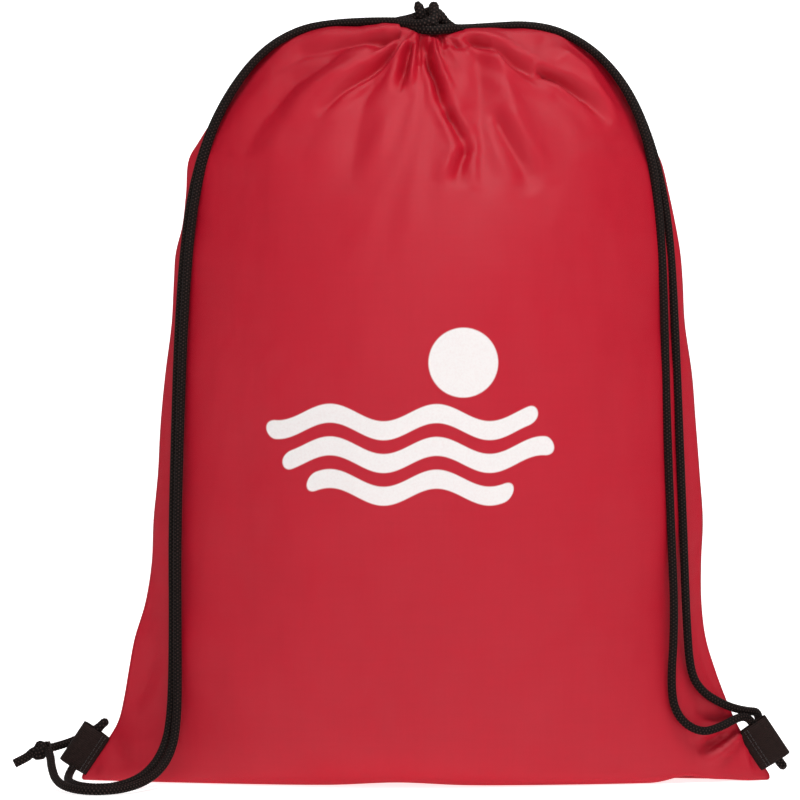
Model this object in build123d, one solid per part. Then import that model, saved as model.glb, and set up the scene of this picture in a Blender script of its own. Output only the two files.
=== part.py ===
from build123d import *
import os
from math import asin, cos, degrees, pi, radians, sin, sqrt, tan

# Drawstring backpack, packed full and drawn shut, standing on its bottom edge.
# Millimetres. +Z up, -Y is the face that the shoulder cords lie on, +X the right of that face.

# Driving dimensions
WALL = 1.2  # body fabric with its crumples, as a plain shell
CORD = 4.4  # braided cord diameter
GAP = 0.4  # free gap between solids on different bodies
CORNER_X = 171.0  # bottom corner of the bag, from the middle
CREST_Z = 378.0  # top of the packed bag, where the mouth is drawn shut
NECK_X = 3.0  # middle of the knot at the mouth
HOLE_R = 12.1  # hole that the drawn mouth leaves in the top of the panels
CASING_R = 12.0  # outer radius of the gathered cord casing
MOUTH_R = 5.0  # what is left of the mouth when it is drawn tight
CASING_LOW = 370.6  # underside of the gathered casing
CASING_HIGH = 382.0  # top of the gathered casing
EXIT_GAP = 2.6  # half the gap in the casing at each side seam, where the cords come out
LOOP_R = 8.5  # radius of the cord loops inside the drawn casing
SEAM_ALLOWANCE = 6.0  # width of the sewn edge inside each seam
SEAM_PLY = 1.0  # thickness of the two overlocked edges
TAB_LENGTH = 22.0  # webbing width, along the side seam
TAB_PLY = 1.3  # webbing thickness
TAB_MID = (165.4, 15.9)  # x and z of the middle of the tab, on the side seam
TAB_LEAN = degrees(asin(10.0 / sqrt(10.0**2 + 15.0**2)))  # seam lean at the corner
TAB_REACH = 14.0  # how far the folded tab stands out
TAB_HALF = 6.0  # half the height of the folded loop across the seam
CREST_RIM = (6.0, 3.0)  # flat of the crest beyond the hole, along X and Y
SEAM_INSET = 3.5  # how far the sewn edges stay inside the seam line
SEAM_CLEAR = 0.5  # bottom seam edge above the inside of the bottom
LOOP_OPENING = 16.0  # degrees on each side of a cord's way out of the casing
CORD_LEVELS = (3.5, 8.0)  # heights of the two cords above the underside of the casing
KNOT_WIDTH = 22.0
KNOT_Y = (-12.6, -23.0)  # back and front of the knot
KNOT_Z = (378.4, 391.4)
END_KNOT_R = 5.2
END_KNOT_LENGTH = 11.0
LEFT_KNOT = ((-192.4, -2.5, 18.2), (-205.5, -4.0, 11.2))  # middle, end of the tail
RIGHT_KNOT = ((168.6, 16.4, 22.6), (162.0, 21.5, 14.2))

# Cross-sections of the packed body: height, half width, half depth
SECTIONS = [
    (0.0, 140.0, 24.0),
    (5.0, CORNER_X, 30.0),
    (20.0, 161.0, 41.0),
    (45.0, 149.5, 50.0),
    (80.0, 141.5, 57.0),
    (130.0, 137.0, 61.5),
    (190.0, 132.5, 63.0),
    (240.0, 127.0, 61.0),
    (285.0, 121.0, 56.0),
    (313.0, 111.5, 50.0),
    (333.0, 100.5, 43.0),
    (350.0, 89.0, 35.5),
    (362.0, 79.5, 28.5),
    (371.0, 68.5, 22.0),
    (376.5, 56.0, 17.0),
]

# Routes of the free cords, from the knot at the mouth down to the corner tab, as corner points.
# "strap" is the stretch that lifts off the bag, "end" the slack below it that stays with the tab.
ROUTES = {
    "left_inner": {
        "strap": [
            (-9.2, -20.0, 380.7),
            (-27.0, -14.0, 381.0),
            (-46.0, -10.6, 380.2),
            (-62.5, -9.6, 377.2),
            (-79.0, -9.2, 366.6),
            (-93.5, -9.4, 350.0),
            (-105.5, -8.6, 328.5),
            (-113.6, -8.0, 303.0),
            (-118.0, -9.8, 272.0),
            (-121.0, -13.4, 228.0),
            (-122.1, -17.3, 180.0),
            (-123.6, -18.9, 125.0),
            (-123.9, -20.3, 76.0),
            (-123.7, -21.4, 52.4),
        ],
        "end": [
            (-123.7, -21.5, 51.6),
            (-123.6, -22.4, 33.0),
            (-126.4, -28.0, 17.0),
            (-134.0, -40.0, 7.0),
            (-146.0, -54.5, 2.8),
            (-161.0, -63.0, 2.4),
            (-175.5, -55.0, 2.6),
            (-184.5, -39.0, 4.4),
            (-187.6, -22.0, 9.6),
            (-188.4, -10.0, 14.2),
        ],
    },
    "left_outer": {
        "strap": [
            (-9.2, -15.1, 380.9),
            (-27.0, -9.2, 381.0),
            (-46.0, -5.8, 380.1),
            (-62.7, -4.8, 377.1),
            (-79.6, -4.4, 366.5),
            (-94.6, -4.5, 349.6),
            (-107.3, -3.8, 327.6),
            (-117.6, -4.2, 302.0),
            (-122.2, -6.2, 272.0),
            (-125.2, -8.8, 228.0),
            (-126.4, -13.8, 180.0),
            (-127.9, -15.9, 125.0),
            (-128.3, -17.6, 76.0),
            (-127.9, -18.8, 52.5),
        ],
        "end": [
            (-127.9, -18.9, 51.5),
            (-128.4, -19.9, 33.0),
            (-131.6, -24.5, 16.5),
            (-139.5, -35.5, 6.4),
            (-151.5, -46.5, 2.7),
            (-164.5, -49.0, 2.4),
            (-175.5, -39.5, 2.5),
            (-181.5, -23.5, 2.6),
            (-182.5, -8.0, 3.4),
            (-179.2, 0.0, 8.2),
            (-162.6, 0.0, 33.1),
            (-162.4, 6.2, 36.4),
            (-168.0, 10.9, 34.4),
            (-177.5, 10.9, 24.6),
            (-184.8, 4.2, 20.4),
        ],
    },
    "right_inner": {
        "strap": [
            (15.2, -20.0, 380.7),
            (33.0, -14.0, 380.8),
            (51.0, -10.6, 379.6),
            (67.0, -9.6, 375.6),
            (83.4, -9.2, 364.6),
            (97.8, -9.4, 348.2),
            (108.0, -8.6, 327.6),
            (114.6, -8.0, 303.0),
            (117.9, -10.6, 272.0),
            (119.2, -15.2, 228.0),
            (120.2, -18.6, 180.0),
            (122.2, -19.9, 125.0),
            (124.0, -20.4, 80.0),
            (123.6, -21.2, 56.5),
        ],
        "end": [
            (123.6, -21.2, 55.5),
            (124.4, -21.6, 40.0),
            (131.0, -19.8, 29.4),
            (141.5, -15.6, 25.2),
            (151.0, -11.4, 27.2),
            (157.4, -6.8, 32.2),
            (162.6, -0.2, 33.4),
            (179.2, 0.0, 8.4),
            (181.4, 6.0, 6.2),
            (178.4, 11.6, 10.2),
            (174.0, 13.4, 15.0),
        ],
    },
    "right_outer": {
        "strap": [
            (15.2, -15.1, 380.9),
            (33.0, -9.2, 380.8),
            (51.0, -5.8, 379.5),
            (67.2, -4.8, 375.5),
            (84.0, -4.4, 364.4),
            (99.0, -4.5, 347.8),
            (110.0, -3.8, 326.6),
            (118.2, -3.4, 302.0),
            (122.6, -5.0, 272.0),
            (124.8, -9.6, 228.0),
            (126.6, -12.6, 180.0),
            (129.2, -13.8, 125.0),
            (131.0, -14.8, 84.0),
            (131.6, -15.6, 66.5),
        ],
        "end": [
            (131.6, -15.7, 65.5),
            (132.4, -15.8, 55.0),
            (138.0, -13.4, 46.4),
            (147.0, -9.4, 41.4),
            (156.2, -4.6, 39.2),
            (163.6, 2.4, 39.6),
            (168.6, 10.0, 36.6),
            (169.0, 14.6, 29.6),
        ],
    },
}


def lens(z, half_width, half_depth):
    """Face between two arcs that meet in a sharp edge at the side seams."""
    ends = [(-half_width, 0.0, z), (half_width, 0.0, z)]
    front = ThreePointArc(ends[0], (0.0, -half_depth, z), ends[1])
    back = ThreePointArc(ends[1], (0.0, half_depth, z), ends[0])
    return make_face([front, back])


def body_shell():
    """Closed bag of the outer shape, hollow, with the hole of the drawn mouth."""
    outer_faces = [lens(*section) for section in SECTIONS]
    outer_faces.append(lens(CREST_Z, HOLE_R + CREST_RIM[0], HOLE_R + CREST_RIM[1]))
    low_z, low_a, low_b = SECTIONS[0]
    inner_faces = [lens(low_z + WALL, low_a - WALL, low_b - WALL)]
    inner_faces += [lens(z, a - 2.0 * WALL, b - WALL) for z, a, b in SECTIONS[1:]]
    outer = loft(outer_faces, ruled=True)
    inner = loft(inner_faces, ruled=True)
    hole = Pos(0, 0, CREST_Z) * Cylinder(HOLE_R, CASING_HIGH - CASING_LOW)
    return outer - inner - hole


def half_space(side):
    """Large block on the front (-1) or the back (+1) of the seam plane."""
    size = 4.0 * CORNER_X
    return Pos(0, side * size / 2.0, CREST_Z / 2.0) * Box(size, size, size)


def casing_half(side):
    """Half of the gathered cord casing, a hollow ring round the drawn mouth."""
    height = CASING_HIGH - CASING_LOW
    ring = Cylinder(CASING_R, height) - Cylinder(MOUTH_R, height)
    tunnel = Cylinder(CASING_R - WALL, height - 2.0 * WALL)
    tunnel -= Cylinder(MOUTH_R + WALL, height - 2.0 * WALL)
    half = (ring - tunnel) & Pos(0, side * (CASING_R + EXIT_GAP), 0) * Box(
        3.0 * CASING_R, 2.0 * CASING_R, height
    )
    return Pos(0, 0, (CASING_LOW + CASING_HIGH) / 2.0) * half


def casing_cord(level, exit_angle):
    """A cord's turn inside the casing, open at the side seam where it comes out."""
    start = exit_angle + LOOP_OPENING
    path = CenterArc((0, 0, level), LOOP_R, start, 360.0 - 2.0 * LOOP_OPENING)
    plane = Plane(origin=path @ 0, z_dir=path % 0)
    return sweep(plane * Circle(CORD / 2.0), path)


def side_profile():
    """Half outline of the seam plane, from the bottom corner up to the crest, as (x, z)."""
    return [(half_width, z) for z, half_width, depth in SECTIONS]


def inset(points, distance):
    """The same open outline moved inwards by a distance, point by point."""
    moved = []
    for i, (x, z) in enumerate(points):
        before = points[max(i - 1, 0)]
        after = points[min(i + 1, len(points) - 1)]
        run = Vector(after[0] - before[0], after[1] - before[1]).normalized()
        moved.append((x - distance * run.Y, z + distance * run.X))
    return moved


def side_seam(side):
    """The two overlocked fabric edges that stand inside the bag along a side seam."""
    profile = side_profile()[2:]
    outline = inset(profile, SEAM_INSET) + inset(profile, SEAM_INSET + SEAM_ALLOWANCE)[::-1]
    face = make_face(Polyline(*[(side * x, 0.0, z) for x, z in outline], close=True))
    return extrude(face, amount=SEAM_PLY / 2.0, dir=(0, 1, 0), both=True)


def bottom_seam():
    """The overlocked edges that stand inside the bag along the bottom seam."""
    width = 2.0 * (SECTIONS[0][1] - SEAM_ALLOWANCE)
    height = SEAM_ALLOWANCE
    return Pos(0, 0, WALL + SEAM_CLEAR + height / 2.0) * Box(width, SEAM_PLY, height)


def corner_tab(side):
    """Webbing folded into a flat loop, standing out from the side seam at a corner."""
    inner_reach = TAB_REACH / 2.0 - TAB_PLY
    middle = GAP + TAB_REACH / 2.0
    loop = Pos(middle, 0) * Ellipse(TAB_REACH / 2.0, TAB_HALF)
    loop -= Pos(middle, 0) * Ellipse(inner_reach, TAB_HALF - TAB_PLY)
    root = Pos(GAP + TAB_PLY, 0) * Rectangle(2.0 * TAB_PLY, 2.0 * TAB_PLY)
    tab = extrude(loop + root, amount=TAB_LENGTH / 2.0, both=True)
    lean = Plane(
        origin=(TAB_MID[0], 0, TAB_MID[1]),
        x_dir=(cos(radians(TAB_LEAN)), 0, sin(radians(TAB_LEAN))),
        z_dir=(sin(radians(TAB_LEAN)), 0, -cos(radians(TAB_LEAN))),
    )
    tab = lean * tab
    return tab if side > 0 else mirror(tab, about=Plane.YZ)


def corner_radii(points):
    """Arc radius at each corner of a route, as large as its two runs allow."""
    radii = []
    for a, b, c in zip(points, points[1:], points[2:]):
        before = Vector(*b) - Vector(*a)
        after = Vector(*c) - Vector(*b)
        turn = radians(before.get_angle(after))
        radii.append(0.45 * min(before.length, after.length) / tan(turn / 2.0))
    return radii


def cord_tube(name, points):
    """Round cord swept along straight runs joined by tangent arcs."""
    radii = corner_radii(points)
    path = FilletPolyline(*points, radius=radii)
    plane = Plane(origin=path @ 0, z_dir=path % 0)
    tube = sweep(plane * Circle(CORD / 2.0), path)
    expected = pi * CORD**2 / 4.0 * path.length
    print(
        f"{name}: length {path.length:.1f}, radii {[round(r, 1) for r in radii]}, "
        f"volume {tube.volume:.0f} of {expected:.0f}"
    )
    return tube


def neck_knot():
    """Outer shape of the knot that the four cords make in front of the drawn mouth."""
    low, high = KNOT_Z
    near, far = KNOT_Y
    block = Box(KNOT_WIDTH, near - far, high - low)
    block = fillet(block.edges().filter_by(Axis.Y), KNOT_WIDTH / 6.0)
    return Pos(NECK_X, (near + far) / 2.0, (low + high) / 2.0) * block


def end_knot(middle, tail_end):
    """Overhand knot in the joined cord ends, with its short cut tail."""
    reach = Vector(*tail_end) - Vector(*middle)
    plane = Plane(origin=middle, z_dir=reach)
    bead = fillet(Cylinder(END_KNOT_R, END_KNOT_LENGTH).edges(), END_KNOT_R / 2.0)
    tail = Pos(0, 0, reach.length / 2.0) * Cylinder(CORD / 2.0, reach.length)
    return plane * (bead + tail)


def build():
    """Every separate piece of the backpack, by node name."""
    shell = body_shell()
    pieces = {
        "front_panel": shell & half_space(-1),
        "back_panel": shell & half_space(1),
        "front_casing": casing_half(-1),
        "back_casing": casing_half(1),
        "left_cord_in_casing": casing_cord(CASING_LOW + CORD_LEVELS[0], 180.0),
        "right_cord_in_casing": casing_cord(CASING_LOW + CORD_LEVELS[1], 0.0),
        "left_side_seam": side_seam(-1),
        "right_side_seam": side_seam(1),
        "bottom_seam": bottom_seam(),
        "left_corner_tab": corner_tab(-1),
        "right_corner_tab": corner_tab(1),
        "neck_knot": neck_knot(),
        "left_end_knot": end_knot(*LEFT_KNOT),
        "right_end_knot": end_knot(*RIGHT_KNOT),
    }
    for name, route in ROUTES.items():
        for part, points in route.items():
            pieces[f"{name}_{part}"] = cord_tube(f"{name}_{part}", points)
    return pieces


os.makedirs("parts", exist_ok=True)
for node, solid in build().items():
    export_step(solid, f"parts/{node}.step")
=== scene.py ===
import math

import bpy
import numpy as np
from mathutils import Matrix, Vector, noise


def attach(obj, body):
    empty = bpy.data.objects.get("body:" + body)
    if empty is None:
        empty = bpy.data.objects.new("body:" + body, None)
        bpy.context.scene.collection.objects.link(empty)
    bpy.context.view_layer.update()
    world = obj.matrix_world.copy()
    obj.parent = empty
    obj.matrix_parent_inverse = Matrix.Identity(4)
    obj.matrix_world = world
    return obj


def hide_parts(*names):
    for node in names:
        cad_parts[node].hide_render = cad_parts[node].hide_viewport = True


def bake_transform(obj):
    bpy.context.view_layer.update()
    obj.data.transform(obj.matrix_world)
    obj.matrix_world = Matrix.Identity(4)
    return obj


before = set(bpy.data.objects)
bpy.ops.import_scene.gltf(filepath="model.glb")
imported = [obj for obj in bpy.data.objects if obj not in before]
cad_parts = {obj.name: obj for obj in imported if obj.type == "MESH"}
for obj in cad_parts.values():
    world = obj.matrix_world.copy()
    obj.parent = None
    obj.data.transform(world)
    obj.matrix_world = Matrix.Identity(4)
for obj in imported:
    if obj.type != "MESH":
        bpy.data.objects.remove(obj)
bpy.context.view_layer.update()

MM = 0.001
CORD = 4.4 * MM
TAU = 2.0 * math.pi


# ---------------------------------------------------------------- camera, lights, floor

def look_at(obj, target):
    obj.rotation_euler = (Vector(target) - obj.location).to_track_quat("-Z", "Y").to_euler()


CAMERA_PLACE = (-12.9 * MM, -2.0, 0.250)
CAMERA_TARGET = (-12.9 * MM, 0.0, 192.0 * MM)
LIGHTS_TARGET = (0.0, 0.0, 0.2)
BACKDROP_Y = 2.8  # far enough to stay behind a camera that walks round the bag
BACKDROP_BEND = 0.6
BACKDROP_TOP = 4.0


def make_camera():
    data = bpy.data.cameras.new("camera")
    data.sensor_width = 36.0
    data.lens = 179.0
    camera = bpy.data.objects.new("camera", data)
    bpy.context.scene.collection.objects.link(camera)
    camera.location = CAMERA_PLACE
    look_at(camera, CAMERA_TARGET)
    bpy.context.scene.camera = camera


def area_light(name, place, size, watts):
    data = bpy.data.lights.new(name, "AREA")
    data.shape = "RECTANGLE"
    data.size, data.size_y = size
    data.energy = watts
    light = bpy.data.objects.new(name, data)
    bpy.context.scene.collection.objects.link(light)
    light.location = place
    look_at(light, LIGHTS_TARGET)


def make_studio():
    world = bpy.data.worlds.new("studio")
    bpy.context.scene.world = world
    world.use_nodes = True
    background = world.node_tree.nodes["Background"]
    background.inputs["Color"].default_value = (1.0, 1.0, 1.0, 1.0)
    background.inputs["Strength"].default_value = 0.15
    bpy.context.scene.view_settings.view_transform = "Standard"
    area_light("key", (-0.35, -1.7, 1.5), (0.9, 0.5), 6.2)
    area_light("fill", (0.9, -1.9, 0.35), (0.7, 0.7), 2.2)
    area_light("top", (0.3, -0.60, 1.45), (0.8, 0.35), 12.0)


def make_floor():
    """White paper that lies under the bag and bends up into a backdrop behind it."""
    half_width, front_y, steps = 6.0, -4.0, 12
    rows = [(front_y, 0.0)]
    for k in range(steps + 1):
        angle = math.pi / 2.0 * k / steps
        y = BACKDROP_Y + BACKDROP_BEND * math.sin(angle)
        rows.append((y, BACKDROP_BEND * (1.0 - math.cos(angle))))
    rows.append((rows[-1][0], BACKDROP_TOP))
    vertices = [(x, y, z) for y, z in rows for x in (-half_width, half_width)]
    faces = [(2 * k, 2 * k + 1, 2 * k + 3, 2 * k + 2) for k in range(len(rows) - 1)]
    mesh = bpy.data.meshes.new("floor")
    mesh.from_pydata(vertices, [], faces)
    mesh.shade_smooth()
    floor = bpy.data.objects.new("floor", mesh)
    bpy.context.scene.collection.objects.link(floor)
    material = bpy.data.materials.new("paper_floor")
    material.use_nodes = True
    shader = material.node_tree.nodes["Principled BSDF"]
    shader.inputs["Base Color"].default_value = (0.93, 0.93, 0.93, 1.0)
    shader.inputs["Roughness"].default_value = 0.9
    shader.inputs["Specular IOR Level"].default_value = 0.1
    shader.inputs["Emission Color"].default_value = (1.0, 1.0, 1.0, 1.0)
    shader.inputs["Emission Strength"].default_value = 0.80
    mesh.materials.append(material)
    floor.visible_glossy = False


# ---------------------------------------------------------------- node helpers

class Nodes:
    """Short names for building one material's node tree."""

    def __init__(self, name):
        self.material = bpy.data.materials.new(name)
        self.material.use_nodes = True
        self.tree = self.material.node_tree
        self.shader = self.tree.nodes["Principled BSDF"]

    def link(self, source, socket):
        if isinstance(source, (int, float)):
            socket.default_value = source
        else:
            self.tree.links.new(source, socket)

    def math(self, operation, a, b=0.0, c=0.0):
        node = self.tree.nodes.new("ShaderNodeMath")
        node.operation = operation
        for source, socket in zip((a, b, c), node.inputs):
            self.link(source, socket)
        return node.outputs[0]

    def place(self, scale=(1.0, 1.0, 1.0), turn=(0.0, 0.0, 0.0)):
        coordinates = self.tree.nodes.new("ShaderNodeTexCoord")
        mapping = self.tree.nodes.new("ShaderNodeMapping")
        mapping.inputs["Scale"].default_value = scale
        mapping.inputs["Rotation"].default_value = turn
        self.tree.links.new(coordinates.outputs["Object"], mapping.inputs["Vector"])
        return mapping.outputs[0]

    def split(self, vector):
        node = self.tree.nodes.new("ShaderNodeSeparateXYZ")
        self.tree.links.new(vector, node.inputs[0])
        return node.outputs

    def noise(self, vector, scale, detail=2.0):
        node = self.tree.nodes.new("ShaderNodeTexNoise")
        node.inputs["Scale"].default_value = scale
        node.inputs["Detail"].default_value = detail
        self.tree.links.new(vector, node.inputs["Vector"])
        return node.outputs["Fac"]

    def ramp(self, value, low, high, to_low=0.0, to_high=1.0):
        node = self.tree.nodes.new("ShaderNodeMapRange")
        for source, socket in zip((value, low, high, to_low, to_high), node.inputs):
            self.link(source, socket)
        return node.outputs[0]

    def mix(self, factor, a, b):
        node = self.tree.nodes.new("ShaderNodeMix")
        node.data_type = "RGBA"
        self.link(factor, node.inputs[0])
        for colour, socket in zip((a, b), (node.inputs[6], node.inputs[7])):
            if isinstance(colour, tuple):
                socket.default_value = (*colour, 1.0)
            else:
                self.tree.links.new(colour, socket)
        return node.outputs[2]

    def attribute(self, name):
        node = self.tree.nodes.new("ShaderNodeAttribute")
        node.attribute_name = name
        return node.outputs["Fac"]

    def bump(self, height, distance, strength):
        node = self.tree.nodes.new("ShaderNodeBump")
        node.inputs["Distance"].default_value = distance
        node.inputs["Strength"].default_value = strength
        self.tree.links.new(height, node.inputs["Height"])
        self.tree.links.new(node.outputs[0], self.shader.inputs["Normal"])

    def set(self, **values):
        for name, value in values.items():
            self.shader.inputs[name.replace("_", " ")].default_value = value


# ---------------------------------------------------------------- materials

RED = (0.520, 0.006, 0.023)
RED_DEEP = (0.480, 0.004, 0.019)
RED_THREAD = (0.360, 0.015, 0.030)
PRINT_WHITE = (0.86, 0.82, 0.81)
BLACK = (0.005, 0.0028, 0.0024)
# The lighter cord colour is partly a painted highlight on the braid's raised crests and partly the
# colour of its random fuzz flecks.
BLACK_FLECK_AND_HIGHLIGHT = (0.132, 0.078, 0.068)
WEBBING = (0.004, 0.0018, 0.0014)
# The lighter webbing colour is partly the colour of its random fuzz flecks and partly a painted
# highlight on its raised weave threads.
WEBBING_FLECK_AND_HIGHLIGHT = (0.042, 0.023, 0.020)
BLACK_THREAD = (0.02, 0.016, 0.016)
PRINT_MIDDLE = (-8.0 * MM, 187.0 * MM)
DISC_MIDDLE = (26.0 * MM, 25.0 * MM)  # from the middle of the print
DISC_RADIUS = 17.0 * MM
WAVES = [(-4.0, 62.0, -4.0), (-20.0, 62.0, 4.0), (-36.0, 46.0, 0.0)]  # level, half length, shift
WAVE_LENGTH = 52.0 * MM
WAVE_HEIGHT = 4.2 * MM
WAVE_HALF_WIDTH = 4.6 * MM
PRINT_EDGE = 0.35 * MM
WEAVE_PITCH = 0.42 * MM


def weave(n, pitch):
    """Height of a plain weave over the fabric's own flat coordinates, which are in metres."""
    a = n.math("SINE", n.math("MULTIPLY", n.attribute("u_m"), TAU / pitch))
    b = n.math("SINE", n.math("MULTIPLY", n.attribute("v_m"), TAU / pitch))
    return n.math("ADD", n.math("MULTIPLY", a, b), n.math("MULTIPLY", a, 0.35))


def hypotenuse(n, a, b):
    return n.math("SQRT", n.math("ADD", n.math("MULTIPLY", a, a), n.math("MULTIPLY", b, b)))


def inked(n, distance, reach):
    """1 up to a distance, 0 past it, with a soft edge."""
    return n.ramp(distance, reach - PRINT_EDGE, reach + PRINT_EDGE, 1.0, 0.0)


def print_mask(n):
    """A plain printed ornament: a disc above three waves."""
    x, _, z = n.split(n.place())
    x = n.math("SUBTRACT", x, PRINT_MIDDLE[0])
    z = n.math("SUBTRACT", z, PRINT_MIDDLE[1])
    dx = n.math("SUBTRACT", x, DISC_MIDDLE[0])
    dz = n.math("SUBTRACT", z, DISC_MIDDLE[1])
    mask = inked(n, hypotenuse(n, dx, dz), DISC_RADIUS)
    swell = n.math("SINE", n.math("MULTIPLY", x, TAU / WAVE_LENGTH))
    swell = n.math("MULTIPLY", swell, WAVE_HEIGHT)
    for level, half, shift in WAVES:
        height = n.math("SUBTRACT", n.math("SUBTRACT", z, level * MM), swell)
        along = n.math("ABSOLUTE", n.math("SUBTRACT", x, shift * MM))
        over = n.math("MAXIMUM", n.math("SUBTRACT", along, half * MM), 0.0)
        band = inked(n, hypotenuse(n, over, height), WAVE_HALF_WIDTH)
        mask = n.math("MAXIMUM", mask, band)
    return mask


def fabric_material(name, printed):
    n = Nodes(name)
    streaks = n.noise(n.place((40.0, 40.0, 600.0)), 1.0, 3.0)
    columns = n.noise(n.place((600.0, 40.0, 40.0)), 1.0, 3.0)
    patches = n.noise(n.place(), 14.0, 2.0)
    tone = n.math("ADD", n.math("MULTIPLY", streaks, 0.35), n.math("MULTIPLY", columns, 0.35))
    tone = n.math("ADD", tone, n.math("MULTIPLY", patches, 0.5))
    colour = n.mix(n.ramp(tone, 0.35, 0.85), RED_DEEP, RED)
    if printed:
        mask = print_mask(n)
        ink = n.ramp(n.noise(n.place(), 900.0, 2.0), 0.2, 0.6, 0.93, 1.0)
        colour = n.mix(n.math("MULTIPLY", mask, ink), colour, PRINT_WHITE)
    n.link(colour, n.shader.inputs["Base Color"])
    rough = n.ramp(n.noise(n.place(), 60.0, 2.0), 0.3, 0.7, 0.36, 0.46)
    n.link(rough, n.shader.inputs["Roughness"])
    n.set(Specular_IOR_Level=0.42)
    n.bump(weave(n, WEAVE_PITCH), 0.05 * MM, 0.55)
    return n.material


def cord_material():
    n = Nodes("braided_polyester")
    relief = n.attribute("relief")
    fuzz = n.noise(n.place(), 2600.0, 2.0)
    # Painted highlight and shade: the braid's raised crests are coloured lighter and its hollows
    # darker, with random fuzz flecks mixed in.
    tone = n.math("ADD", n.math("MULTIPLY", relief, 0.7), n.math("MULTIPLY", fuzz, 0.3))
    n.link(n.mix(n.ramp(tone, 0.26, 0.70), BLACK, BLACK_FLECK_AND_HIGHLIGHT), n.shader.inputs["Base Color"])
    n.link(n.ramp(fuzz, 0.3, 0.7, 0.6, 0.8), n.shader.inputs["Roughness"])
    n.set(Sheen_Weight=0.03, Sheen_Roughness=0.4, Specular_IOR_Level=0.14)
    n.bump(fuzz, 0.08 * MM, 0.6)
    return n.material


def webbing_material():
    n = Nodes("webbing_polyester")
    warp = n.math("SINE", n.math("MULTIPLY", n.attribute("u_m"), TAU / (0.95 * MM)))
    step = n.math("MULTIPLY", n.attribute("v_m"), TAU / (0.7 * MM))
    weft = n.math("SINE", n.math("ADD", step, n.math("MULTIPLY", warp, 1.2)))
    height = n.math("MULTIPLY", n.math("ADD", n.math("MULTIPLY", warp, 0.7), weft), 0.5)
    fuzz = n.noise(n.place(), 1800.0, 2.0)
    # The raised weave threads are coloured a little lighter as a painted highlight, over random
    # fuzz flecks.
    tone = n.math("ADD", n.math("MULTIPLY", height, 0.25), fuzz)
    n.link(n.mix(n.ramp(tone, 0.2, 0.9), WEBBING, WEBBING_FLECK_AND_HIGHLIGHT), n.shader.inputs["Base Color"])
    n.link(n.ramp(fuzz, 0.3, 0.7, 0.5, 0.7), n.shader.inputs["Roughness"])
    n.set(Sheen_Weight=0.02, Sheen_Roughness=0.5, Specular_IOR_Level=0.12)
    n.bump(height, 0.16 * MM, 0.8)
    return n.material


def thread_material(name, colour):
    n = Nodes(name)
    twist = n.noise(n.place((900.0, 900.0, 900.0)), 1.0, 2.0)
    light = tuple(min(1.0, 1.5 * c) for c in colour)
    n.link(n.mix(twist, colour, light), n.shader.inputs["Base Color"])
    n.set(Roughness=0.6, Sheen_Weight=0.3)
    n.bump(twist, 0.06 * MM, 0.6)
    return n.material


# ---------------------------------------------------------------- shared mesh helpers

def new_object(name, mesh, material):
    mesh.materials.append(material)
    mesh.shade_smooth()
    obj = bpy.data.objects.new(name, mesh)
    bpy.context.scene.collection.objects.link(obj)
    return obj


def grid_faces(rows, columns, wrap=False):
    """Quads over a grid of points, row by row, closed round the columns if wrap."""
    faces = []
    for r in range(rows - 1):
        low, high = r * columns, (r + 1) * columns
        for c in range(columns if wrap else columns - 1):
            d = (c + 1) % columns
            faces.append((low + c, low + d, high + d, high + c))
    return faces


def mesh_from(name, points, faces):
    mesh = bpy.data.meshes.new(name)
    mesh.from_pydata([tuple(p) for p in points], [], [tuple(f) for f in faces])
    return mesh


def add_attribute(mesh, name, values):
    attribute = mesh.attributes.new(name, "FLOAT", "POINT")
    attribute.data.foreach_set("value", np.asarray(values, np.float32))


def catmull(rows, samples):
    """Smooth curve through rows of numbers, sampled evenly between its first and last row."""
    rows = np.asarray(rows, float)
    padded = np.vstack([2 * rows[0] - rows[1], rows, 2 * rows[-1] - rows[-2]])
    at = np.linspace(0.0, len(rows) - 1.0, samples)
    i = np.minimum(at.astype(int), len(rows) - 2)
    t = (at - i)[:, None]
    a, b, c, d = padded[i], padded[i + 1], padded[i + 2], padded[i + 3]
    return 0.5 * (
        2 * b + (c - a) * t + (2 * a - 5 * b + 4 * c - d) * t**2 + (3 * b - a - 3 * c + d) * t**3
    )


def even_spacing(points, count):
    """The same line with a number of points at equal distances, and its length."""
    points = np.asarray(points, float)
    steps = np.linalg.norm(np.diff(points, axis=0), axis=1)
    along = np.concatenate([[0.0], np.cumsum(steps)])
    at = np.linspace(0.0, along[-1], count)
    return np.stack([np.interp(at, along, points[:, k]) for k in range(3)], axis=1), along[-1]


BRAID_STEP = 0.33 * MM  # distance between the rings of points along a cord
BRAID_SIDES = 36
BRAID_STRANDS = 5
BRAID_PITCH = 9.0 * MM


def spline_line(points):
    """Points along the smooth NURBS line of a route in millimetres, and its length in metres."""
    curve = bpy.data.curves.new("route", "CURVE")
    curve.dimensions = "3D"
    spline = curve.splines.new("NURBS")
    spline.points.add(len(points) - 1)
    for point, place in zip(spline.points, points):
        point.co = (*(c * MM for c in place), 1.0)
    spline.order_u = 3
    spline.use_endpoint_u = True
    spline.resolution_u = 24
    obj = bpy.data.objects.new("route", curve)
    mesh = bpy.data.meshes.new_from_object(obj)
    line = np.array([v.co for v in mesh.vertices])
    bpy.data.objects.remove(obj)
    bpy.data.curves.remove(curve)
    bpy.data.meshes.remove(mesh)
    length = np.linalg.norm(np.diff(line, axis=0), axis=1).sum()
    return even_spacing(line, max(8, int(length / BRAID_STEP)))


def travelling_frames(line):
    """Two normals at each point of a line, which turn as little as they can along it."""
    tangents = np.gradient(line, axis=0)
    tangents /= np.linalg.norm(tangents, axis=1)[:, None]
    normal = np.cross(tangents[0], (0.31, 0.87, 0.38))
    normals = []
    for tangent in tangents:
        normal = normal - tangent * np.dot(normal, tangent)
        normal /= np.linalg.norm(normal)
        normals.append(normal)
    normals = np.array(normals)
    return normals, np.cross(tangents, normals)


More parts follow.
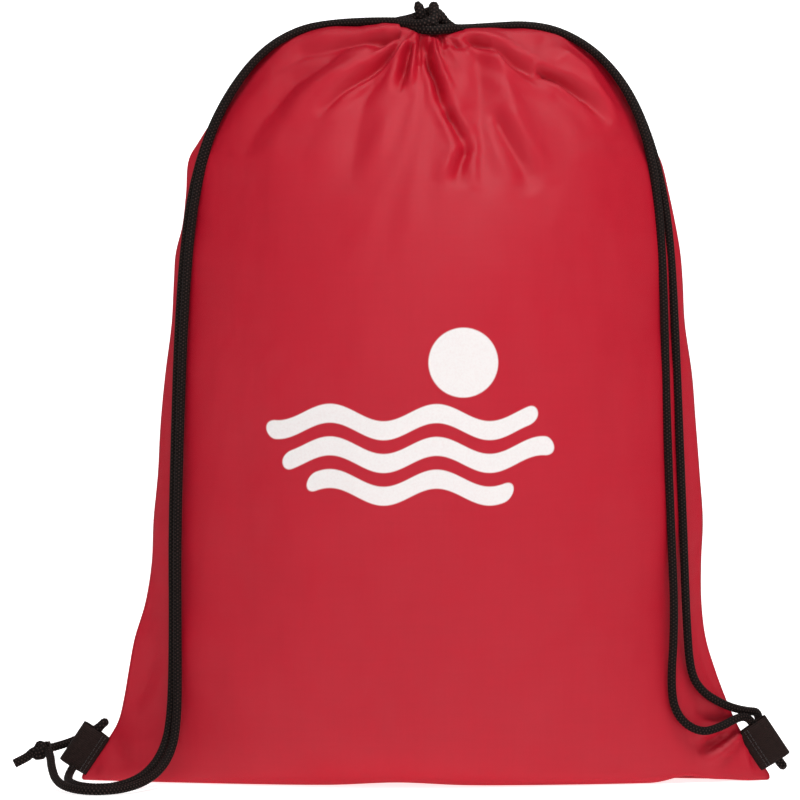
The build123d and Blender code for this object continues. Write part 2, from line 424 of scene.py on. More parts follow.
def braided_tube(name, line, diameter, material, squash=1.0, taper=0.0):
    """Round cord with a braid's relief: strands that run both ways round it, over and under.

    squash flattens the cord, and taper is the length over which its last end draws in.
    """
    steps = np.linalg.norm(np.diff(line, axis=0), axis=1)
    along = np.concatenate([[0.0], np.cumsum(steps)])[:, None]
    angle = np.linspace(0.0, TAU, BRAID_SIDES, endpoint=False)[None, :]
    turn = TAU * along / BRAID_PITCH
    one = np.cos(BRAID_STRANDS * (angle + turn))
    other = np.cos(BRAID_STRANDS * (angle - turn))
    weave_over = 0.5 + 0.5 * np.sin(BRAID_STRANDS * angle) * np.sin(BRAID_STRANDS * turn)
    relief = np.maximum(one * weave_over, other * (1.0 - weave_over))
    relief = np.clip(relief, -0.3, 1.0)
    radius = diameter / 2.0 * (0.93 + 0.15 * relief)
    if taper:
        radius = radius * np.clip((along[-1] - along) / taper + 0.25, 0.25, 1.0) ** 0.6
    u, v = travelling_frames(line)
    points = (
        line[:, None, :]
        + (radius * np.cos(angle))[..., None] * u[:, None, :]
        + (radius * np.sin(angle) * squash)[..., None] * v[:, None, :]
    )
    count = len(line) * BRAID_SIDES
    faces = grid_faces(len(line), BRAID_SIDES, wrap=True)
    faces.append(tuple(range(BRAID_SIDES))[::-1])
    faces.append(tuple(range(count - BRAID_SIDES, count)))
    mesh = mesh_from(name, points.reshape(-1, 3), faces)
    # The cord material colours the cord lighter where this relief is high, as a painted highlight.
    add_attribute(mesh, "relief", relief.reshape(-1))
    return new_object(name, mesh, material)


# ---------------------------------------------------------------- cords

# Corner points of the free cords in millimetres, from the mouth down to the corner tabs.
ROUTES = {
    "left_inner": [
        (-6.0, -18.4, 380.6), (-14.0, -18.0, 380.8), (-27.0, -13.0, 381.2), (-46.0, -7.4, 380.6),
        (-63.5, -4.2, 377.8), (-81.0, -7.6, 367.4), (-94.8, -9.2, 350.6), (-106.4, -9.0, 329.0),
        (-113.8, -8.6, 303.0), (-118.2, -10.6, 272.0), (-121.0, -14.0, 228.0),
        (-122.6, -18.2, 180.0), (-124.0, -20.2, 125.0), (-123.8, -22.0, 76.0),
        (-123.6, -23.8, 34.0), (-126.4, -28.6, 17.0),
        (-134.0, -40.0, 7.0), (-146.0, -54.5, 2.8), (-161.0, -63.0, 2.4), (-174.5, -55.0, 2.6),
        (-183.0, -39.0, 4.4), (-186.8, -22.0, 9.4), (-188.2, -10.4, 13.6), (-190.0, -5.0, 16.0),
    ],
    "left_outer": [
        (-6.0, -14.4, 380.8), (-14.0, -13.4, 381.0), (-27.0, -8.2, 381.2), (-46.0, -2.6, 380.6),
        (-63.6, 0.4, 377.6), (-81.6, -2.8, 367.2), (-96.0, -4.4, 350.0), (-108.0, -4.2, 328.0),
        (-116.2, -4.4, 302.0), (-120.8, -6.6, 272.0), (-123.8, -10.0, 228.0),
        (-125.2, -14.2, 180.0), (-126.6, -16.2, 125.0), (-126.2, -18.0, 76.0),
        (-127.0, -19.9, 34.0), (-131.0, -24.5, 16.8),
        (-139.5, -35.5, 6.6), (-151.5, -46.5, 2.8), (-163.5, -48.5, 2.4), (-173.0, -39.5, 2.4),
        (-178.2, -24.0, 2.5), (-179.6, -9.0, 3.2), (-177.8, -0.6, 7.0), (-166.2, 0.0, 24.6),
        (-162.4, 1.0, 29.2), (-162.0, 7.4, 28.8), (-167.4, 11.0, 24.4), (-177.0, 10.2, 19.4),
        (-184.6, 5.0, 17.2), (-190.0, 0.6, 16.2),
    ],
    "right_inner": [
        (9.0, -18.6, 377.8), (15.2, -18.8, 377.0), (33.0, -13.0, 378.5), (51.0, -7.6, 379.9),
        (68.4, -3.0, 376.8), (86.2, -6.0, 365.8), (99.6, -8.2, 349.2), (109.0, -8.4, 328.4),
        (114.8, -8.0, 303.0), (117.9, -10.6, 272.0), (119.2, -15.2, 228.0), (120.2, -18.6, 180.0),
        (122.4, -19.9, 125.0), (124.2, -20.6, 82.0), (121.8, -21.6, 46.0), (126.8, -20.0, 32.6),
        (137.6, -16.6, 26.0), (147.2, -12.6, 28.2), (155.0, -7.6, 31.8), (160.6, -2.6, 33.0),
        (165.0, 0.0, 29.4), (178.6, 0.0, 8.8), (181.4, 6.0, 6.2), (178.4, 11.6, 10.2),
        (174.0, 13.4, 15.0),
    ],
    "right_outer": [
        (9.0, -14.6, 378.0), (15.2, -14.0, 377.2), (33.0, -8.2, 378.6), (51.0, -2.8, 379.6),
        (68.6, 1.8, 376.4), (86.8, -1.2, 365.6), (100.8, -3.4, 348.8), (110.6, -3.8, 327.8),
        (118.2, -3.6, 302.0), (122.6, -5.4, 272.0), (124.8, -9.6, 228.0), (126.6, -12.8, 180.0),
        (128.8, -14.0, 125.0), (130.4, -15.4, 80.0), (132.4, -15.2, 55.6), (138.4, -12.4, 46.2),
        (147.2, -8.4, 40.4), (156.0, -3.4, 36.6), (163.4, 2.0, 34.8), (168.6, 8.6, 33.8),
        (169.4, 14.2, 28.4),
    ],
}


def make_strap_cord(name, points, material):
    """One free cord from the mouth to its corner tab."""
    side = name.split("_")[0]
    line, length = spline_line(points)
    cord = braided_tube(f"{name}_cord", line, CORD, material)
    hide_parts(f"{name}_strap", f"{name}_end")
    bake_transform(cord)


# ---------------------------------------------------------------- knots

NECK_CORD = 5.2 * MM  # the cord spreads where the knot presses it
EAR_TAPER = 3.5 * MM
END_CORD = 4.7 * MM
END_KNOT_SCALE = 3.0
END_SQUASH = 0.85


# Cords of the knot at the mouth, in millimetres: each line is one bight or turn.
NECK_KNOT = {
    "left_ear": [
        (-1.6, -17.6, 379.0), (-2.6, -19.2, 383.0), (-3.0, -19.0, 386.4), (-4.5, -18.0, 390.4),
    ],
    "right_ear": [
        (3.6, -25.0, 378.2), (4.2, -23.4, 384.0), (4.0, -19.8, 388.0), (3.8, -16.6, 388.4),
        (4.2, -14.0, 385.0), (4.6, -13.6, 380.0),
    ],
    "right_flank": [
        (-0.6, -15.4, 384.6), (3.0, -17.4, 387.0), (7.4, -19.4, 383.6), (9.6, -19.0, 379.8),
        (14.0, -17.0, 377.2),
    ],
    "left_shoulder": [
        (-14.0, -15.6, 380.8), (-8.4, -16.4, 381.8), (-4.0, -17.0, 383.4), (0.4, -15.8, 383.6),
        (4.6, -15.0, 381.6),
    ],
    "front_turn": [
        (-14.4, -17.4, 380.4), (-9.8, -18.8, 379.8), (-5.0, -22.6, 378.8), (-0.4, -25.0, 379.2),
        (3.4, -24.6, 381.4), (6.6, -21.4, 383.2), (6.4, -17.0, 384.0),
    ],
    "low_turn": [
        (-8.6, -18.4, 379.0), (-4.6, -22.6, 377.0), (0.2, -24.8, 376.4), (4.6, -25.4, 376.2),
        (9.0, -23.4, 376.8), (14.6, -18.6, 377.2),
    ],
    "core": [
        (-4.0, -14.4, 380.4), (0.4, -14.2, 384.6), (5.0, -14.6, 383.4), (8.4, -15.0, 379.6),
    ],
}


def make_neck_knot(material):
    for name, points in NECK_KNOT.items():
        line, _ = spline_line(points)
        taper = EAR_TAPER if name == "left_ear" else 0.0
        piece = braided_tube(f"neck_knot_{name}", line, NECK_CORD, material, taper=taper)
        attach(piece, "bag")
        if name == "left_ear":
            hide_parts("neck_knot")


# An overhand knot about its own middle, with x along the cord. END_KNOT_SCALE makes it millimetres.
OVERHAND = [
    (-1.9, 0.1, 0.0), (-1.1, 0.5, 0.3), (-0.2, 1.0, 0.5), (0.8, 0.7, 0.1), (1.0, -0.2, -0.5),
    (0.4, -0.9, -0.7), (-0.5, -0.9, 0.0), (-0.9, -0.2, 0.7), (-0.4, 0.7, 0.9), (0.3, 0.9, -0.1),
    (0.2, 0.3, -1.0), (-0.1, -0.5, -0.8), (0.5, -0.5, 0.4), (1.4, -0.1, 0.3), (2.2, 0.0, 0.0),
]


def make_end_knot(side, middle, tail_end, material):
    """Tight overhand knot in the cord ends, with a short cut and sealed tail."""
    middle, tail_end = Vector(middle), Vector(tail_end)
    along = (tail_end - middle).normalized()
    across = along.cross(Vector((0.0, 0.0, 1.0))).normalized()
    up = across.cross(along)
    points = [middle + END_KNOT_SCALE * (along * x + across * y + up * z) for x, y, z in OVERHAND]
    points += [middle.lerp(tail_end, 0.8), tail_end]
    line, _ = spline_line([tuple(p) for p in points])
    knot = braided_tube(f"{side}_overhand_knot", line, END_CORD, material, squash=END_SQUASH)
    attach(knot, "bag")
    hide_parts(f"{side}_end_knot")


# ---------------------------------------------------------------- corner tabs

# Sizes in millimetres. Reach is the distance out from the seam line, along the loop.
TAB_MIDDLE = {"left": (166.0, 12.6), "right": (165.2, 15.7)}
TAB_LEAN = math.atan2(10.0, 15.0)
TAB_WIDTH = 22.0
TAB_REACH = 14.2
TAB_ROOT = {"left": -0.6, "right": -2.2}
TAB_STEPS = 28
TAB_COLUMNS = 33
WEBBING_THICKNESS = 0.9
STITCH_REACHES = (1.2, 2.8)
STITCHES = 9
STITCH_PITCH = 2.35
STITCH_LIFT = 0.42
STITCH_HALF_LENGTH = 0.85
THREAD_RADIUS = 0.24


def bend_at_root(obj):
    """Bakes an object's placement into its mesh; nothing is bent."""
    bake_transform(obj)


def tab_belly(t):
    """Half the thickness of the loop, at a share t of the way from its root to its fold."""
    return 0.75 + 4.1 * math.sin(math.pi * min(1.0, t**1.1)) ** 0.5


def make_tab(side, webbing, thread):
    """Webbing folded into a flat loop, its two cut ends sewn into the side seam."""
    sign = 1.0 if side == "right" else -1.0
    half = []
    for k in range(TAB_STEPS + 1):
        t = k / TAB_STEPS
        reach = TAB_ROOT[side] + (TAB_REACH - TAB_ROOT[side]) * math.sin(t * math.pi / 2.0) ** 0.9
        half.append((reach, tab_belly(t) if k < TAB_STEPS else 0.0))
    path = np.array([(r, -b) for r, b in half] + [(r, b) for r, b in half[-2::-1]])
    out_dir = np.array([math.cos(TAB_LEAN), 0.0, math.sin(TAB_LEAN)])
    seam_dir = np.array([-math.sin(TAB_LEAN), 0.0, math.cos(TAB_LEAN)])
    base = np.array([TAB_MIDDLE[side][0], 0.0, TAB_MIDDLE[side][1]])
    along = np.concatenate([[0.0], np.cumsum(np.linalg.norm(np.diff(path, axis=0), axis=1))])
    points, us, vs = [], [], []
    for (reach, belly), v in zip(path, along):
        for c in range(TAB_COLUMNS):
            u = (c / (TAB_COLUMNS - 1.0) - 0.5) * TAB_WIDTH
            edge = 1.0 - 0.25 * abs(2.0 * u / TAB_WIDTH) ** 6
            p = base + out_dir * reach + seam_dir * u + np.array([0.0, belly * edge, 0.0])
            points.append((sign * p[0] * MM, p[1] * MM, p[2] * MM))
            us.append(u * MM)
            vs.append(v * MM)
    faces = grid_faces(len(path), TAB_COLUMNS)
    if side == "left":
        faces = [f[::-1] for f in faces]
    mesh = mesh_from(f"{side}_webbing_tab", points, faces)
    add_attribute(mesh, "u_m", us)
    add_attribute(mesh, "v_m", vs)
    tab = new_object(f"{side}_webbing_tab", mesh, webbing)
    apply_solid(tab, WEBBING_THICKNESS * MM, 0.0)
    bend_at_root(tab)
    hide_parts(f"{side}_corner_tab")
    make_tab_stitches(side, sign, base, out_dir, seam_dir, thread)


def make_tab_stitches(side, sign, base, out_dir, seam_dir, thread):
    """Two rows of thread through the tab beside the seam."""
    points, faces = [], []
    for face in (-1.0, 1.0):
        out = np.array([0.0, face, 0.0])
        for reach in STITCH_REACHES:
            share = (reach - TAB_ROOT[side]) / (TAB_REACH - TAB_ROOT[side])
            belly = tab_belly(math.asin(share ** (1.0 / 0.9)) * 2.0 / math.pi) + STITCH_LIFT
            for k in range(STITCHES):
                u = (k - STITCHES // 2) * STITCH_PITCH
                middle = base + out_dir * reach + seam_dir * u
                middle = middle + np.array([0.0, face * belly, 0.0])
                add_stitch(points, faces, middle, seam_dir, out)
    points = [(sign * x * MM, y * MM, z * MM) for x, y, z in points]
    stitches = new_object(f"{side}_tab_stitches", mesh_from("stitches", points, faces), thread)
    bend_at_root(stitches)


def add_stitch(points, faces, middle, along, out):
    """One thread stitch: a short tube that dips into the fabric at both ends."""
    side = np.cross(along, out)
    first = len(points)
    rings, sides = 7, 6
    for r in range(rings):
        t = 2.0 * r / (rings - 1.0) - 1.0
        rise = THREAD_RADIUS * (1.1 - 1.9 * abs(t) ** 3)
        centre = middle + along * STITCH_HALF_LENGTH * t + out * rise
        for s in range(sides):
            a = TAU * s / sides
            points.append(centre + THREAD_RADIUS * (math.cos(a) * out + math.sin(a) * side))
    for a, b, c, d in grid_faces(rings, sides, wrap=True):
        faces.append((first + a, first + b, first + c, first + d))
    faces.append(tuple(first + s for s in range(sides))[::-1])
    faces.append(tuple(first + (rings - 1) * sides + s for s in range(sides)))


def apply_solid(obj, thickness, offset):
    """Gives a sheet its thickness, as real geometry."""
    solid = obj.modifiers.new("thickness", "SOLIDIFY")
    solid.thickness = thickness
    solid.offset = offset
    solid.use_even_offset = False
    bpy.context.view_layer.objects.active = obj
    with bpy.context.temp_override(object=obj, active_object=obj):
        bpy.ops.object.modifier_apply(modifier=solid.name)


# ---------------------------------------------------------------- body fabric

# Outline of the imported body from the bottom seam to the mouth, in millimetres:
# height, left half width, right half width, half depth, middle across, middle in depth
BODY = [
    (1.8, 160.0, 160.0, 0.8, 0.0, 0.0),
    (0.5, 168.0, 168.0, 13.0, 0.0, 0.0),
    (0.3, 172.6, 172.6, 24.0, 0.0, 0.0),
    (3.2, 173.0, 173.4, 30.0, 0.0, 0.0),
    (10.0, 167.8, 168.8, 36.0, 0.0, 0.0),
    (20.0, 160.8, 162.0, 41.5, 0.0, 0.0),
    (30.0, 155.0, 156.4, 45.5, 0.0, 0.0),
    (42.0, 152.0, 151.2, 49.4, 0.0, 0.0),
    (56.0, 149.6, 146.0, 52.8, 0.0, 0.0),
    (72.0, 146.6, 141.2, 55.8, 0.0, 0.0),
    (90.0, 141.2, 139.0, 58.4, 0.0, 0.0),
    (110.0, 138.0, 138.8, 60.4, 0.0, 0.0),
    (132.0, 137.0, 139.6, 61.8, 0.0, 0.0),
    (155.0, 134.8, 138.0, 62.6, 0.0, 0.0),
    (180.0, 133.4, 136.0, 62.8, 0.0, 0.0),
    (205.0, 131.0, 134.0, 62.8, 0.0, 0.0),
    (230.0, 127.8, 130.4, 62.2, 0.0, 0.0),
    (252.0, 126.6, 129.2, 60.6, 0.0, 0.0),
    (266.0, 125.6, 128.0, 59.0, 0.0, 0.0),
    (280.0, 122.2, 125.6, 57.2, 0.0, 0.0),
    (296.0, 120.4, 122.2, 54.4, 0.0, 0.0),
    (312.0, 119.2, 118.2, 50.6, 0.0, 0.0),
    (322.0, 113.8, 112.4, 47.6, 0.0, 0.0),
    (334.0, 106.2, 107.6, 43.6, 0.0, 0.0),
    (345.0, 99.2, 102.0, 39.4, 0.0, 0.0),
    (355.0, 91.6, 95.6, 35.2, 0.0, 0.0),
    (363.5, 84.4, 88.8, 31.0, 0.0, 0.0),
    (370.8, 75.6, 80.4, 27.0, 0.0, -0.2),
    (376.0, 65.0, 70.6, 23.4, 0.3, -0.8),
    (378.4, 52.0, 56.0, 20.2, 0.9, -1.4),
    (378.6, 36.0, 39.0, 17.4, 1.4, -2.0),
    (377.2, 20.6, 22.4, 14.0, 1.6, -2.4),
    (375.2, 10.6, 10.8, 11.0, 1.2, -2.0),
]
ROWS = 222
COLUMNS = 208
FINE_TOP = 2.2  # the rows lie this many times closer at the mouth than at the bottom
FLAT_WIDTH = 0.340
FLAT_HEIGHT = 0.430
CLOTH_THICKNESS = 0.35 * MM
FLOOR_GAP = 0.3
NECK = (3.0, 376.0)
VIEW_DISTANCE = 2000.0
VIEW_MIDDLE = (-12.6, 250.0)


def body_grid(front):
    """Grid of points over one panel, from the bottom seam up to the mouth."""
    fine = catmull(BODY, 1600)
    path = np.stack([fine[:, 0], 0.5 * fine[:, 1], fine[:, 3]], axis=1)
    steps = np.concatenate([[0.0], np.cumsum(np.linalg.norm(np.diff(path, axis=0), axis=1))])
    t = np.linspace(0.0, 1.0, ROWS)
    at = steps[-1] * (t + (FINE_TOP - 1.0) * (t - t**2 / 2.0)) / (1.0 + (FINE_TOP - 1.0) / 2.0)
    rows = np.stack([np.interp(at, steps, fine[:, k]) for k in range(6)], axis=1)
    u = np.linspace(-1.0, 1.0, COLUMNS)[None, :]
    z, left, right, depth, mid_x, mid_y = (rows[:, k][:, None] for k in range(6))
    half = np.where(u < 0.0, left, right)
    mean = 0.5 * (left + right)
    radius = (mean**2 + depth**2) / (2.0 * depth)
    sweep = np.where(depth < mean, np.arcsin(np.clip(mean / radius, -1, 1)), math.pi / 2.0)
    x = mid_x + half * np.sin(sweep * u) / np.sin(sweep)
    dip = (np.cos(sweep * u) - np.cos(sweep)) / (1.0 - np.cos(sweep))
    sign = -1.0 if front else 1.0
    y = mid_y + sign * depth * dip
    z = np.broadcast_to(z, x.shape)
    # The knot's weight pulls the mouth down, and the hem stands in low waves.
    sag = 1.3 * np.exp(-(((x + 26.0) / 18.0) ** 2))
    sag += 4.2 * np.exp(-(((x - 6.0) / np.where(x < 6.0, 10.0, 17.0)) ** 2))
    sag -= 1.5 * np.exp(-(((x + 52.0) / 9.0) ** 2)) + 1.3 * np.exp(-(((x + 76.0) / 8.0) ** 2))
    pull = sag * np.clip((z - 350.0) / 26.0, 0.0, 1.0) ** 1.5 * (1.0 - u**4)
    hem = 1.6 * np.exp(-(((x + 14.0) / 24.0) ** 2)) + 3.2 * np.exp(-(((x - 131.0) / 11.0) ** 2))
    hem = (hem + 0.9 * np.exp(-(((x - 150.0) / 10.0) ** 2))) * np.clip(1.0 - z / 26.0, 0.0, 1.0)
    z = z - pull * (1.0 if front else 0.7) + (hem if front else 0.0)
    return x, y, z, u


def grid_normals(x, y, z):
    points = np.stack([x, y, z], axis=-1)
    by_row = np.gradient(points, axis=0)
    by_column = np.gradient(points, axis=1)
    normal = np.cross(by_column, by_row)
    return normal / np.maximum(np.linalg.norm(normal, axis=-1), 1e-9)[..., None]


def noise_field(x, y, z, scale, seed):
    """Smooth noise at every point of the grid, about -1 to 1."""
    flat = zip((x / scale[0]).ravel(), (y / scale[1]).ravel(), (z / scale[2]).ravel())
    values = [noise.fractal(Vector((a + seed, b, c)), 1.0, 2.0, 2) for a, b, c in flat]
    return np.array(values).reshape(x.shape)


def seen(x, y, z):
    """Where points of the body stand in a front view from 2 m, at the plane of the side seams."""
    grow = VIEW_DISTANCE / (VIEW_DISTANCE + y)
    across, up = VIEW_MIDDLE
    return across + (x - across) * grow, up + (z - up) * grow


def crease(x, z, points, width, height):
    """A fold along a line in the front view: a sharp edge with soft shoulders of the other sign."""
    best = np.full(x.shape, 1e9)
    along = np.zeros(x.shape)
    lengths = [math.dist(a, b) for a, b in zip(points, points[1:])]
    total = sum(lengths)
    done = 0.0
    for (ax, az), (bx, bz), length in zip(points, points[1:], lengths):
        ux, uz = (bx - ax) / length, (bz - az) / length
        t = np.clip((x - ax) * ux + (z - az) * uz, 0.0, length)
        away = np.hypot(x - ax - t * ux, z - az - t * uz)
        nearer = away < best
        best = np.where(nearer, away, best)
        along = np.where(nearer, (done + t) / total, along)
        done += length
    fade = np.clip(along * 6.0 + 0.5, 0.0, 1.0) * np.clip((1.0 - along) * 2.2, 0.0, 1.0) ** 0.7
    wide = width * (0.7 + 0.6 * along)
    edge = np.exp(-((best / wide) ** 1.5))
    shoulder = np.exp(-(((best - 2.1 * wide) / (1.1 * wide)) ** 2))
    return height * (edge - 0.35 * shoulder) * fade


# Folds of the front in its front view, in millimetres: the line from its deep end to where it
# runs out, half width, and height (a valley is negative), which FOLD_HEIGHT multiplies.
FRONT_FOLDS = [
    (((-9.0, 376.6), (-18.0, 374.0), (-30.0, 369.8)), 2.6, -3.0),
    (((-8.0, 376.0), (-16.0, 368.0), (-28.0, 357.4), (-41.0, 348.0), (-55.0, 335.0)), 1.8, -2.2),
    (((-7.0, 371.5), (-9.4, 364.0), (-12.4, 354.0), (-14.0, 346.0)), 2.2, -2.8),
    (((-2.2, 376.0), (-3.4, 367.6), (-2.6, 360.0)), 2.0, -3.4),
    (((-0.4, 372.0), (1.6, 362.0), (5.6, 352.0), (7.8, 343.6), (13.0, 332.0)), 1.9, -2.6),
    (((11.0, 337.0), (14.6, 331.0), (19.2, 323.0), (20.8, 315.0)), 2.6, -2.2),
    (((21.0, 318.0), (18.4, 313.0), (15.2, 300.0)), 3.2, -2.0),
    (((7.4, 375.4), (8.6, 371.8), (10.6, 368.6)), 1.5, -2.6),
    (((10.0, 374.6), (16.0, 370.4), (22.0, 368.6)), 1.8, -1.8),
    (
        ((20.0, 373.6), (30.0, 370.6), (38.4, 367.0), (46.0, 361.0), (56.0, 355.8), (67.0, 352.8)),
        2.6,
        -2.5,
    ),
    (((58.0, 357.6), (69.6, 352.2), (76.0, 347.6), (82.4, 342.0), (92.6, 330.0)), 2.2, -2.4),
    (((33.0, 371.0), (38.6, 354.0), (44.4, 337.0), (50.6, 321.0), (55.0, 306.0)), 6.5, 1.5),
    (((35.4, 335.0), (41.8, 323.0), (49.4, 310.0), (54.0, 296.0)), 4.0, -1.7),
    (((26.0, 368.0), (27.6, 350.0), (28.4, 330.0), (27.6, 300.0)), 5.0, -0.9),
    (((-20.0, 366.0), (-31.0, 344.0), (-36.0, 322.0), (-38.4, 296.0)), 6.0, -1.2),
    (((-30.0, 364.0), (-52.0, 350.0), (-70.0, 334.0)), 7.0, 1.8),
    (((-24.0, 374.0), (-44.0, 371.0), (-62.0, 366.0), (-78.0, 356.0)), 3.4, -1.8),
    (((-44.0, 366.0), (-66.0, 352.0), (-82.0, 334.0), (-92.0, 314.0)), 4.6, -1.6),
    (((66.0, 368.0), (80.0, 356.0), (90.0, 342.0), (97.0, 326.0)), 5.0, 1.8),
    (((4.0, 366.0), (12.0, 350.0), (20.0, 338.0)), 3.0, 1.3),
    (((-5.0, 370.0), (-6.4, 360.0), (-7.6, 350.0)), 1.6, 1.8),
    (((3.4, 373.0), (4.6, 364.0), (8.6, 356.0)), 1.8, 1.6),
    (((158.0, 28.0), (146.0, 20.0), (138.0, 14.6)), 2.6, -2.2),
    (((160.0, 24.0), (148.0, 14.0), (139.0, 7.0)), 3.4, 1.3),
    (((157.0, 34.0), (146.0, 32.0), (136.0, 34.0)), 3.0, -1.6),
    (((164.0, 17.0), (166.6, 8.0), (168.0, 2.0)), 1.8, -1.2),
    (((148.0, 44.0), (139.0, 66.0), (132.0, 92.0)), 5.0, -0.7),
    (((-158.0, 20.0), (-152.0, 11.0), (-143.0, 5.0)), 5.0, -1.0),
    (((-168.6, 8.0), (-165.6, 4.0), (-164.0, 0.5)), 1.5, -1.4),
    (((-146.0, 40.0), (-139.0, 60.0), (-134.0, 86.0)), 5.0, -0.7),
]
# Folds of the back, as seen from the front through the bag.
BACK_FOLDS = [
    (((-12.0, 375.0), (-30.0, 366.0), (-52.0, 350.0), (-70.0, 330.0)), 3.0, -2.4),
    (((-6.0, 374.0), (-14.0, 356.0), (-26.0, 334.0), (-36.0, 306.0)), 2.8, -2.6),
    (((-1.0, 374.0), (-4.0, 356.0), (-10.0, 336.0)), 2.2, -2.8),
    (((3.0, 374.0), (5.0, 352.0), (4.0, 326.0), (8.0, 296.0)), 2.6, -2.6),
    (((7.0, 374.0), (14.0, 358.0), (20.0, 344.0)), 2.2, -2.8),
    (((11.0, 374.0), (26.0, 354.0), (40.0, 328.0), (50.0, 300.0)), 3.0, -2.5),
    (((16.0, 375.0), (38.0, 364.0), (62.0, 346.0), (82.0, 322.0)), 3.2, -2.4),
    (((20.0, 376.0), (46.0, 373.0), (68.0, 362.0)), 2.8, -1.8),
    (((-18.0, 376.0), (-44.0, 373.0), (-66.0, 362.0)), 2.8, -1.8),
    (((-40.0, 350.0), (-46.0, 320.0), (-50.0, 280.0)), 6.0, 1.5),
    (((30.0, 340.0), (34.0, 310.0), (33.0, 270.0)), 6.0, -1.4),
]
FOLD_HEIGHT = 2.0


def body_relief(x, y, z, u, front):
    """How far the fabric stands out or sinks from the smooth body, in millimetres."""
    side = -1.0 if front else 1.0
    sx, sz = seen(x, y, z) if front else (x, z)
    relief = np.zeros_like(x)
    for points, width, height in FRONT_FOLDS if front else BACK_FOLDS:
        relief += FOLD_HEIGHT * crease(sx, sz, points, width, height)
    swell = noise_field(x, y * side, z, (75.0, 75.0, 95.0), 3.0 if front else 17.0)
    wrinkle = noise_field(x, y * side, z, (22.0, 22.0, 46.0), 9.0 if front else 31.0)
    relief += 1.5 * swell + 0.45 * wrinkle
    down = np.maximum(NECK[1] - z, 0.0)
    radius = np.hypot(x - NECK[0], np.hypot(down, np.minimum(np.abs(y), 30.0) * 0.5))
    angle = np.arctan2(x - NECK[0], down + 3.0)
    pleats = np.sin(15.0 * angle + 1.4 * np.sin(4.0 * angle)) + 0.5 * np.sin(31.0 * angle + 2.0)
    near = np.exp(-(((radius - 14.0) / 10.0) ** 2))
    relief += 0.75 * pleats * near * np.clip(down / 6.0, 0.0, 1.0)
    streaks = np.sin(21.0 * angle + 2.6 * np.sin(5.0 * angle + 1.0))
    streaks = streaks * np.cos(radius / 26.0 + 5.0 * angle)
    far = np.exp(-(((radius - 70.0) / 42.0) ** 2))
    relief += 0.5 * streaks * far * np.clip(down / 12.0, 0.0, 1.0)
    edge = 1.0 - np.abs(u)
    pucker = np.sin(z / 3.4 + 2.5 * np.sin(z / 17.0) + 1.3 * np.sin(z / 41.0))
    relief += 0.42 * pucker * np.exp(-edge * 26.0) * np.clip(edge * 60.0, 0, 1)
    pinned = np.clip(edge / 0.03, 0.0, 1.0) * np.clip((z - 0.5) / 10.0, 0.0, 1.0)
    relief = relief * pinned
    if front:
        # The knot and cords press the cloth flat in front of the mouth.
        under_knot = np.abs(x - NECK[0]) < 16.0
        relief = relief * np.where(under_knot, np.clip(down / 7.0, 0.1, 1.0), 1.0)
    # Where the bag is thin a fold can't reach its other side.
    return np.maximum(relief, -0.4 * np.abs(y))


def make_panel(name, front, fabric):
    x, y, z, u = body_grid(front)
    normal = grid_normals(x, y, z)
    if not front:
        normal = -normal
    relief = body_relief(x, y, z, u, front)
    points = np.stack([x, y, z], axis=-1) + relief[..., None] * normal
    points[..., 2] = np.maximum(points[..., 2], FLOOR_GAP)
    points = points * MM
    faces = grid_faces(ROWS, COLUMNS)
    if not front:
        faces = [f[::-1] for f in faces]
    mesh = mesh_from(name, points.reshape(-1, 3), faces)
    across = np.broadcast_to(u * FLAT_WIDTH / 2.0, x.shape)
    steps = np.linalg.norm(np.diff(points[:, COLUMNS // 2], axis=0), axis=1)
    flat = np.concatenate([[0.0], np.cumsum(steps)])
    along = np.broadcast_to((flat * FLAT_HEIGHT / flat[-1])[:, None], x.shape)
    add_attribute(mesh, "u_m", across.ravel())
    add_attribute(mesh, "v_m", along.ravel())
    panel = new_object(name, mesh, fabric)
    apply_solid(panel, CLOTH_THICKNESS, -1.0)
    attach(panel, "bag")
    return panel


CASING_RADIUS = 8.5
CASING_HEIGHT = 376.3


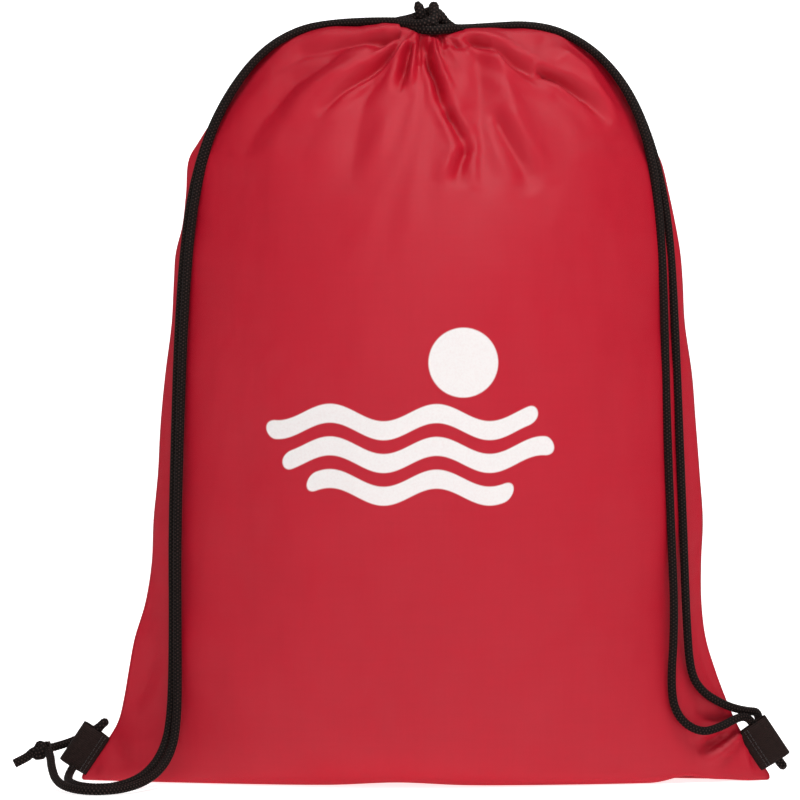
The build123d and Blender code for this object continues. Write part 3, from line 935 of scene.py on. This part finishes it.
def make_casing(fabric):
    """The cord casing drawn into a tight ruffled ring round the mouth."""
    around, tube = 300, 20
    points, us, vs = [], [], []
    middle = np.array([0.0, 0.0, CASING_HEIGHT])
    for k in range(around):
        a = TAU * k / around
        ruffle = math.sin(13.0 * a + 0.8 * math.sin(3.0 * a)) + 0.4 * math.sin(29.0 * a + 1.0)
        for s in range(tube):
            b = TAU * s / tube
            radial = CASING_RADIUS + 3.5 * math.cos(b) + 0.5 * ruffle * (0.6 + 0.4 * math.sin(b))
            rise = 5.3 * math.sin(b) + 0.4 * ruffle * math.cos(b)
            points.append(middle + np.array([radial * math.cos(a), radial * math.sin(a), rise]))
            us.append(a * 0.054)
            vs.append(b * 0.003)
    # One row more than there are rings: the last row is the first ring again.
    faces = grid_faces(around + 1, tube, wrap=True)
    faces = [tuple(i % len(points) for i in f[::-1]) for f in faces]
    mesh = mesh_from("casing_ruffle", [p * MM for p in points], faces)
    add_attribute(mesh, "u_m", us)
    add_attribute(mesh, "v_m", vs)
    casing = new_object("casing_ruffle", mesh, fabric)
    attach(casing, "bag")
    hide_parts("front_casing", "back_casing")


# ---------------------------------------------------------------- the object

make_camera()
make_studio()
make_floor()

cord_look = cord_material()
webbing_look = webbing_material()
black_thread = thread_material("black_thread", BLACK_THREAD)
red_thread = thread_material("red_thread", RED_THREAD)
plain_fabric = fabric_material("red_polyester", False)
printed_fabric = fabric_material("red_polyester_printed", True)

for cord_name, route in ROUTES.items():
    make_strap_cord(cord_name, route, cord_look)
make_neck_knot(cord_look)
make_end_knot("left", (-194.4, -2.8, 15.4), (-207.0, -4.0, 9.0), cord_look)
make_end_knot("right", (168.6, 16.4, 22.6), (162.0, 21.5, 14.2), cord_look)
for tab_side in ("left", "right"):
    make_tab(tab_side, webbing_look, black_thread)

front_panel = make_panel("front_fabric", True, printed_fabric)
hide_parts("front_panel")
back_panel = make_panel("back_fabric", False, plain_fabric)
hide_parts("back_panel")
make_casing(plain_fabric)

# The CAD pieces that stay in the picture get the looks of their thread and cord.
for nodes, look in (
    (("left_side_seam", "right_side_seam", "bottom_seam"), red_thread),
    (("left_cord_in_casing", "right_cord_in_casing"), cord_look),
):
    for node in nodes:
        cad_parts[node].data.materials.clear()
        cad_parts[node].data.materials.append(look)
